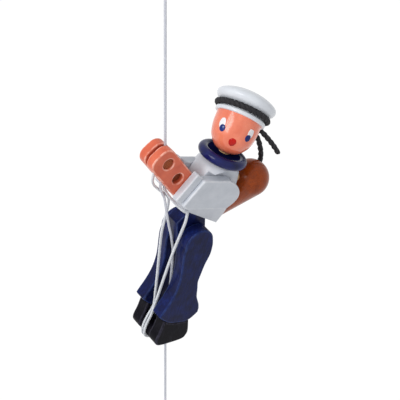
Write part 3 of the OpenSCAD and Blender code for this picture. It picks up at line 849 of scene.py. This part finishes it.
def face_mark(name, side, turn, height, half_w, half_h, dome, material, lean=0.0):
    """Thin painted oval on the head, crowned at its middle, with its edge tucked into the head."""
    rings = 8
    count = 40
    rise = 0.06
    tuck = 0.12
    root = 0.6
    radius = head_surface(side, turn, height)[0].xy.length
    verts = []
    for ring in range(rings + 1):
        share = ring / rings
        lift = dome * (1 - share ** 3) + (rise if ring < rings else -tuck)
        for k in range(count if ring else 1):
            a = 2 * math.pi * k / count
            u = half_w * share * math.cos(a)
            v = half_h * share * math.sin(a)
            u, v = u * math.cos(lean) - v * math.sin(lean), u * math.sin(lean) + v * math.cos(lean)
            point, out = head_surface(side, turn + math.degrees(u / radius), height + v)
            verts.append(HEAD_FRAME @ (point + out * lift))
    faces = [(0, 1 + k, 1 + (k + 1) % count) for k in range(count)]
    for ring in range(rings - 1):
        for k in range(count):
            a = 1 + ring * count + k
            b = 1 + ring * count + (k + 1) % count
            faces.append((a, a + count, b + count, b))
    back, outward = head_surface(side, turn, height)
    verts.append(HEAD_FRAME @ (back - outward * root))
    last = 1 + (rings - 1) * count
    faces += [(last + (k + 1) % count, last + k, len(verts) - 1) for k in range(count)]
    piece(name, (verts, faces, [0.0] * len(verts)), material, (), "head", 70)


def make_face(side):
    face_mark("near_eye_white", side, 40.5, -0.9, 1.95, 3.0, 0.05, EYE_WHITE, 0.1)
    face_mark("near_eye_pupil", side, 36.5, -3.2, 1.85, 1.95, 0.16, EYE_BLUE)
    # Painted highlight on the near pupil.
    face_mark("near_eye_painted_highlight", side, 34.0, -2.7, 0.35, 0.5, 0.26, EYE_PAINTED_HIGHLIGHT)
    face_mark("far_eye_white", side, -41.0, -0.3, 1.95, 3.0, 0.05, EYE_WHITE, -0.1)
    face_mark("far_eye_pupil", side, -40.0, -2.8, 1.85, 1.95, 0.16, EYE_BLUE)
    face_mark("painted_nose", side, -5.0, -7.8, 2.0, 1.9, 0.45, NOSE_RED)


def make_hat():
    crown = [(CROWN_R - 2.6, CROWN_Z), (CROWN_R - 0.8, CROWN_Z + 1.4), (CROWN_R, CROWN_Z + CROWN_H * 0.4),
             (CROWN_R - 1.2, CROWN_Z + CROWN_H * 0.62), (CROWN_R - 5, CROWN_Z + CROWN_H * 0.83),
             (CROWN_R / 2 - 2, CROWN_Z + CROWN_H * 0.96), (0, CROWN_Z + CROWN_H)]
    top = BRIM_Z + BRIM_T
    soft = 0.7
    brim = [(0, BRIM_Z)] + half_round(soft, (BRIM_R - soft, BRIM_Z + soft), -90, 0, 4)
    brim += half_round(soft, (BRIM_R - soft, top - soft), 0, 90, 4)
    curve = brim + [(GROOVE_R, top), (GROOVE_R, CROWN_Z)] + [(max(p[0], 0), p[1]) for p in spline(crown, 8)]
    curve[-1] = (0, CROWN_Z + CROWN_H)
    piece("hat_turned", lathe_mesh(curve, HEAD_FRAME, 128), HAT_PAINT, ("hat",), "head", 50)


def twisted(points, strands, strand_r, centre_r, pitch, taper=0.0):
    """Strands laid round each other along a route, each thinner over its last part where it tapers."""
    taper_from = 0.85
    taper_part = 0.15
    frames = frames_along(points)
    meshes = []
    total = route_length(points)
    turns = total / pitch
    for s in range(strands):
        run = 0.0
        lay = []
        for i, p in enumerate(points):
            if i:
                run += (p - points[i - 1]).length
            a = 2 * math.pi * (run / total * turns + s / strands)
            lay.append(beside(p, frames[i], centre_r, a))
        # Four draws for each strand, of which the first frays its end
        draws = [random.random() for _ in range(4)]
        fray = 0.1 * draws[0]

        def radius(turn, run_along, share):
            grain = 1 + 0.05 * math.cos(5 * turn + 3 * run_along)
            end = 1 - taper * max(0.0, (share - taper_from) / taper_part) * (0.6 + fray)
            return strand_r * grain * end
        meshes.append(tube_mesh(lay, radius, 10))
    return joined(meshes)


def make_band():
    count = 240
    angles = [2 * math.pi * k / count for k in range(count + 1)]
    ring = [HEAD_FRAME @ Vector((BAND_RING_R * math.cos(a), BAND_RING_R * math.sin(a), BAND_Z))
            for a in angles]
    strand_r = BAND_R * 0.7
    centre_r = BAND_R * 0.3
    data = twisted(ring, 2, strand_r, centre_r, 5.6)
    piece("hat_band_twisted", data, BAND_YARN, ("hat_band",), "head")
    centre = HEAD_FRAME @ Vector((BAND_RING_R + BAND_R + 2.1, 0, BAND_Z))
    knot_cord_r = 0.85
    lump = braid(knot_cord_r, strands=3, pitch=2.0, depth=0.08)
    data = knot_mesh(centre, KNOT_R, knot_cord_r, 40, lump)
    piece("band_knot_tied", data, BAND_YARN, ("band_knot",), "head")
    for node, route in (("near_tail", NEAR_TAIL), ("far_tail", FAR_TAIL)):
        curve = resample(spline(route, 8), 0.35)
        data = twisted(curve, 2, TAIL_R * 0.74, TAIL_R * 0.26, 7.0, taper=0.1)
        piece(node + "_twisted", data, BAND_YARN, (node,), "head")


def make_collar():
    loop = half_round(COLLAR_TUBE_R, (COLLAR_R, 0), 180, -180, 56)
    data = lathe_mesh(loop, TORSO_FRAME, 128)
    piece("collar_turned", data, COLLAR_PAINT, ("collar",), "torso", 70)


def make_collar_inside_navy_and_shade():
    """Thin dark disc over the torso's end inside the collar: navy paint, darkened further as painted shade
    near the chin.
    """
    top = 1.95
    bottom = top - 0.15
    meet = 180 - math.degrees(math.asin(top / COLLAR_TUBE_R))
    rim = COLLAR_R + COLLAR_TUBE_R * math.cos(math.radians(meet)) + 0.1
    disc = [(0, top), (rim, top), (rim, bottom), (0, bottom)]
    piece("collar_inside_navy_and_painted_shade_disc", lathe_mesh(disc, TORSO_FRAME, 96), COLLAR_INSIDE_NAVY_AND_SHADE, (), "torso", 30)


def make_bag():
    bulb = half_round(BAG_R, (0, 0), 180, 80, 28)
    tip = half_round(BAG_TIP_R, (BAG_LEN, 0), 80, 0, 16)
    curve = [(max(r, 0), z) for z, r in bulb] + [(max(r, 0), z) for z, r in tip]
    curve[0] = (0, -BAG_R)
    curve[-1] = (0, BAG_LEN + BAG_TIP_R)
    data = lathe_mesh(curve, BAG_FRAME, 96)
    piece("kit_bag_turned", data, BAG_WOOD, ("kit_bag",), "torso", 60)


def box_mesh(place, low, high):
    verts = [place @ Vector((x, y, z))
             for x in (low[0], high[0]) for y in (low[1], high[1]) for z in (low[2], high[2])]
    faces = [(0, 1, 3, 2), (4, 6, 7, 5), (0, 4, 5, 1), (2, 3, 7, 6), (0, 2, 6, 4), (1, 5, 7, 3)]
    return verts, faces, [0.0] * 8


def prism_mesh(outline, inner, outer):
    """Plain board with square edges, for cutting."""
    count = len(outline)
    verts = [Vector((p[0], y, p[1])) for y in (inner, outer) for p in outline]
    faces = [(k, (k + 1) % count, count + (k + 1) % count, count + k) for k in range(count)]
    cap = tessellate_polygon([[Vector((p[0], p[1], 0)) for p in outline]])
    faces += [tuple(face) for face in cap]
    faces += [tuple(i + count for i in reversed(face)) for face in cap]
    return verts, faces, [0.0] * len(verts)


def cut_away(obj, data, operation="DIFFERENCE"):
    """Takes a shape away from a piece, or adds it to the piece."""
    cutter = piece("cutting_shape", data, TORSO_PAINT)
    cut = obj.modifiers.new("cut", "BOOLEAN")
    cut.operation = operation
    cut.solver = "EXACT"
    cut.object = cutter
    settle(obj)
    bpy.data.objects.remove(cutter)


def recess_outline():
    """Flat that a sleeve swings on, open towards the hem and the hands."""
    rise = SLEEVE_R + SIDE_GAP
    meet = math.degrees(math.atan2(rise, -math.sqrt(RECESS_R ** 2 - rise ** 2))) - RECESS_SWING
    swung = turned([(-CUT_REACH, rise)], -RECESS_SWING)
    local = arc((0, 0), RECESS_R, 0, meet, 24) + swung
    local += [(-CUT_REACH, -CUT_REACH), (CUT_REACH, -CUT_REACH), (CUT_REACH, 0)]
    return turned(local, -SLEEVE_SLOPE, SHOULDER)


def torso_profile():
    bottom = -TORSO_LEN - TORSO_SPARE
    seat = COLLAR_TUBE_R
    shoulder_mid = between(SHOULDER_DROP, CHEST_DROP, 0.45)
    chest_mid = between(CHEST_DROP, BELLY_DROP, 0.4)
    belly_mid = between(BELLY_DROP, TORSO_LEN, 0.5)
    side = [(COLLAR_R - 1.6, -seat), (SHOULDER_R - 1, -between(seat, SHOULDER_DROP, 0.5)),
            (SHOULDER_R, -SHOULDER_DROP), (CHEST_R - 0.7, -shoulder_mid), (CHEST_R, -CHEST_DROP),
            (between(CHEST_R, BELLY_R, 0.5), -chest_mid), (BELLY_R, -BELLY_DROP), (BELLY_R - 0.3, -belly_mid),
            (HEM_R, -TORSO_LEN), (HEM_R - 1.6, bottom)]
    curve = [(0, SPIGOT_TOP), (SPIGOT_R, SPIGOT_TOP), (SPIGOT_R, -seat)]
    return curve + [(p[0], p[1]) for p in spline(side, 10)] + [(0, bottom)]


def make_torso():
    data = lathe_mesh(torso_profile(), TORSO_FRAME, 144)
    torso = piece("torso_turned", data, TORSO_PAINT, ("torso",), "torso")
    hem = TORSO_FRAME @ Matrix.Translation((0, 0, -TORSO_LEN)) @ rotation(HEM_SLANT, "Y")
    cut_away(torso, box_mesh(hem, (-CUT_REACH, -CUT_REACH, -CUT_REACH), (CUT_REACH, CUT_REACH, 0)))
    for side in (NEAR, FAR):
        cut_away(torso, prism_mesh(recess_outline(), *sided(side, HAND_OUT - SIDE_GAP, CUT_REACH)))
    soften = torso.modifiers.new("soften", "BEVEL")
    soften.width = 0.35 * MM
    soften.segments = 2
    soften.limit_method = "ANGLE"
    soften.angle_limit = math.radians(40)
    settle(torso)
    torso.data.set_sharp_from_angle(angle=math.radians(50))


# Sawn boards
def hand_outline():
    """Hand board, hollowed at the wrist so that the torso clears it as it swings."""
    centre = turned([Vector(SHOULDER)], HAND_SLOPE)[0]
    top_x = centre[0] - math.sqrt(RELIEF_R ** 2 - (centre[1] - HAND_R) ** 2)
    cut_y = centre[1] - math.sqrt(RELIEF_R ** 2 - (centre[0] - HAND_WRIST) ** 2)
    start = math.degrees(math.atan2(HAND_R - centre[1], top_x - centre[0]))
    end = math.degrees(math.atan2(cut_y - centre[1], HAND_WRIST - centre[0]))
    relief = arc(centre, RELIEF_R, start, end, 10)
    inward = HAND_R - HAND_CORNER
    tip = arc((-HAND_END + HAND_CORNER, inward), HAND_CORNER, 90, 180, 14)
    tip += arc((-HAND_END + HAND_CORNER, -inward), HAND_CORNER, 180, 270, 14)
    local = [Vector((HAND_WRIST, -HAND_R))] + relief[::-1] + tip
    return turned(local, -HAND_SLOPE)


def circle(centre, radius, steps=40):
    return arc(centre, radius, 0, 360, steps)[:-1]


def sleeve_outline():
    back = [(5.3, -SLEEVE_R), (SLEEVE_BACK - 1.5, -SLEEVE_R * 0.55), (SLEEVE_BACK, -1.2),
            (SLEEVE_BACK - 1.1, 2.6), (5.6, SLEEVE_R - 2.3), (0.3, SLEEVE_R)]
    front = [(-SLEEVE_TOP, SLEEVE_R), (-SLEEVE_BOTTOM, SLEEVE_FRONT_Z),
             (-SLEEVE_BOTTOM + 0.3, SLEEVE_FRONT_Z - 1.1), (-SLEEVE_BOTTOM + SLEEVE_HEEL, -SLEEVE_R)]
    local = spline(back, 8) + [Vector(p) for p in front]
    return turned(local, -SLEEVE_SLOPE, SHOULDER)


def cuff_outline():
    top = Vector((-SLEEVE_TOP, SLEEVE_R))
    bottom = Vector((-SLEEVE_BOTTOM, SLEEVE_FRONT_Z))
    edge = (bottom - top).normalized()
    out = Vector((edge[1], -edge[0])) * CUFF_W
    a = top - edge * CUFF_OVERHANG
    b = bottom + edge * CUFF_OVERHANG
    return turned([a, a + out, b + out, b], -SLEEVE_SLOPE, SHOULDER)


def sided(side, inner, outer):
    return (inner, outer) if side == FAR else (-outer, -inner)


def side_board(side, part, outline, inner, outer, edge_r, material, body, holes=()):
    """Board on one side of the string, which replaces the node of that side."""
    node = ("far_" if side == FAR else "near_") + part
    data = board_mesh(outline, holes, *sided(side, inner, outer), edge_r)
    piece(node + "_board", data, material, (node,), body)


def make_arms():
    hand = rounded_corners(hand_outline(), 0.6)
    sleeve = rounded_corners(sleeve_outline(), 1.0)
    cuff = rounded_corners(cuff_outline(), 0.9)
    holes = [circle(place, DOWEL_R + GLUE_FIT) for place in (UPPER_DOWEL, LOWER_DOWEL)]
    for side in (NEAR, FAR):
        side_board(side, "hand", hand, HAND_IN, HAND_OUT, 0.55, HAND_PAINT, "arms", holes)
        side_board(side, "sleeve", sleeve, HAND_OUT, SLEEVE_OUT, 0.7, SLEEVE_PAINT, "arms")
        side_board(side, "cuff", cuff, HAND_OUT, HAND_OUT + CUFF_T, 0.6, SLEEVE_PAINT, "arms")


def make_dowels():
    edge = 0.25
    for word, place, recess, material in (("upper", UPPER_DOWEL, UPPER_RECESS, UPPER_END),
                                          ("lower", LOWER_DOWEL, LOWER_RECESS, LOWER_END)):
        reach = HAND_OUT - recess
        profile = [(0, -reach), (DOWEL_R - edge, -reach), (DOWEL_R, -reach + edge), (DOWEL_R, reach - edge),
                   (DOWEL_R - edge, reach), (0, reach)]
        turn = Matrix.Translation((place[0], 0, place[1])) @ rotation(90, "X")
        piece(word + "_grip_peg", lathe_mesh(profile, turn, 48), material,
              (word + "_grip_dowel",), "arms")


def clip_to_hem(shoe, hem):
    """Keeps the part of the shoe's outline below the hem, and closes it along the hem."""
    def hem_height(x):
        for a, b in zip(hem, hem[1:]):
            if a[0] <= x <= b[0]:
                return a[1] + (b[1] - a[1]) * (x - a[0]) / (b[0] - a[0])
        return math.inf
    low = [p for p in shoe if p[1] < hem_height(p[0]) - 0.05]
    front = min(low[0][0], low[-1][0])
    back = max(low[0][0], low[-1][0])
    seam = [p for p in hem if front < p[0] < back]
    return low + seam[::-1]


def make_legs():
    hem = spline(LEG_HEM, 8)
    leg = spline(LEG_FRONT, 6) + hem + spline(LEG_BACK, 6)
    leg += arc(HIP, HIP_R, 0, 180, 24)[1:-1]
    shoe = rounded_corners(clip_to_hem(spline(SHOE, 6), hem), 0.4)
    for side in (NEAR, FAR):
        side_board(side, "leg", leg, LEG_IN, LEG_OUT, 0.7, LEG_PAINT, "legs")
        side_board(side, "shoe", shoe, LEG_IN, LEG_OUT, 0.9, SHOE_PAINT, "legs")
    block = rounded_box((0, 0), FOOT_L / 2, FOOT_H / 2, FOOT_ROUND, 8)
    data = board_mesh(turned(block, -SOLE_SLOPE, FOOT_C), [], -LEG_IN, LEG_IN, 0.3)
    piece("foot_block_board", data, SHOE_PAINT, ("foot_block",), "legs")


def make_pelvis():
    lean = math.radians(LEAN)
    slope = math.tan(math.radians(LEAN + HEM_SLANT))
    mid = (COLLAR_C[0] - TORSO_LEN * math.sin(lean), COLLAR_C[2] - TORSO_LEN * math.cos(lean))

    def hem_height(x):
        return mid[1] - (x - mid[0]) * slope
    outline = [Vector((x, hem_height(x))) for x in (HIP[0] + PELVIS_R, PELVIS_TOP)]
    outline += [Vector(p) for p in PELVIS_FRONT]
    outline += arc(HIP, PELVIS_R, 180, 360, 32)
    data = board_mesh(outline, [], -PELVIS_HALF, PELVIS_HALF, 0.5)
    piece("pelvis_board", data, LEG_PAINT, ("pelvis_block",), "torso")


# Stage and light
def seen_directly(tree):
    """One for what the camera, a reflection or glass shows, and zero for light that bounces."""
    path = tree.nodes.new("ShaderNodeLightPath")
    seen = maths(tree, path.outputs["Is Camera Ray"], path.outputs["Is Glossy Ray"], "MAXIMUM")
    return maths(tree, seen, path.outputs["Is Transmission Ray"], "MAXIMUM")


def make_floor():
    """White floor under the pull bead, part glow so that it shows as pure white."""
    size = 6.0
    level = -0.355
    glow_strength = 1.12
    glow_share = 0.8
    mesh = bpy.data.meshes.new("floor")
    corners = [(-size, -size, level), (size, -size, level), (size, size, level), (-size, size, level)]
    mesh.from_pydata(corners, [], [(0, 1, 2, 3)])
    floor = add_object("floor", mesh)
    material, tree, shader = new_material("floor_white", 0.9)
    shader.inputs["Base Color"].default_value = (0.85, 0.85, 0.85, 1)
    glow = tree.nodes.new("ShaderNodeEmission")
    glow.inputs["Strength"].default_value = glow_strength
    mix = tree.nodes.new("ShaderNodeMixShader")
    tree.links.new(maths(tree, seen_directly(tree), glow_share), mix.inputs["Fac"])
    tree.links.new(shader.outputs["BSDF"], mix.inputs[1])
    tree.links.new(glow.outputs["Emission"], mix.inputs[2])
    tree.links.new(mix.outputs["Shader"], tree.nodes["Material Output"].inputs["Surface"])
    mesh.materials.append(material)


def make_world():
    """White all round: full strength where it is seen, dimmer as a light."""
    light_strength = 0.56
    seen_strength = 1.0
    world = bpy.data.worlds.new("studio")
    world.use_nodes = True
    tree = world.node_tree
    dim = tree.nodes["Background"]
    dim.inputs["Color"].default_value = (1, 1, 1, 1)
    strength = spread(tree, seen_directly(tree), 0.0, 1.0, light_strength, seen_strength)
    tree.links.new(strength, dim.inputs["Strength"])
    bpy.context.scene.world = world


def make_lamp(name, direction, power, size):
    """Area lamp aimed at the figure's middle."""
    aim = Vector((0.02, 0, -0.17))
    distance = 1.1
    data = bpy.data.lights.new(name, "AREA")
    data.energy = power
    data.size = size
    lamp = add_object(name, data)
    toward = Vector(direction).normalized()
    lamp.location = aim + toward * distance
    lamp.rotation_euler = toward.to_track_quat("Z", "Y").to_euler()


def dress_hidden_nodes():
    """Gives the pins and dowels that no piece replaces a pale wood."""
    for name in ("shoulder_dowel", "neck_dowel", "bag_dowel", "hip_pin"):
        node = frame["nodes"][name]
        for slot in node.material_slots:
            slot.material = PALE_WOOD


make_camera()
make_string()
make_knots()
make_elastic()
make_ring()
make_bead()
make_face(make_head())
make_hat()
make_band()
make_collar()
make_collar_inside_navy_and_shade()
make_bag()
make_torso()
make_arms()
make_dowels()
make_pelvis()
make_legs()
dress_hidden_nodes()
make_floor()
make_world()
make_lamp("key", direction=(-0.85, -0.05, 0.9), power=6.2, size=0.55)
make_lamp("fill", direction=(-0.3, -0.9, 0.5), power=0.5, size=1.2)
bpy.context.scene.view_settings.view_transform = "Standard"
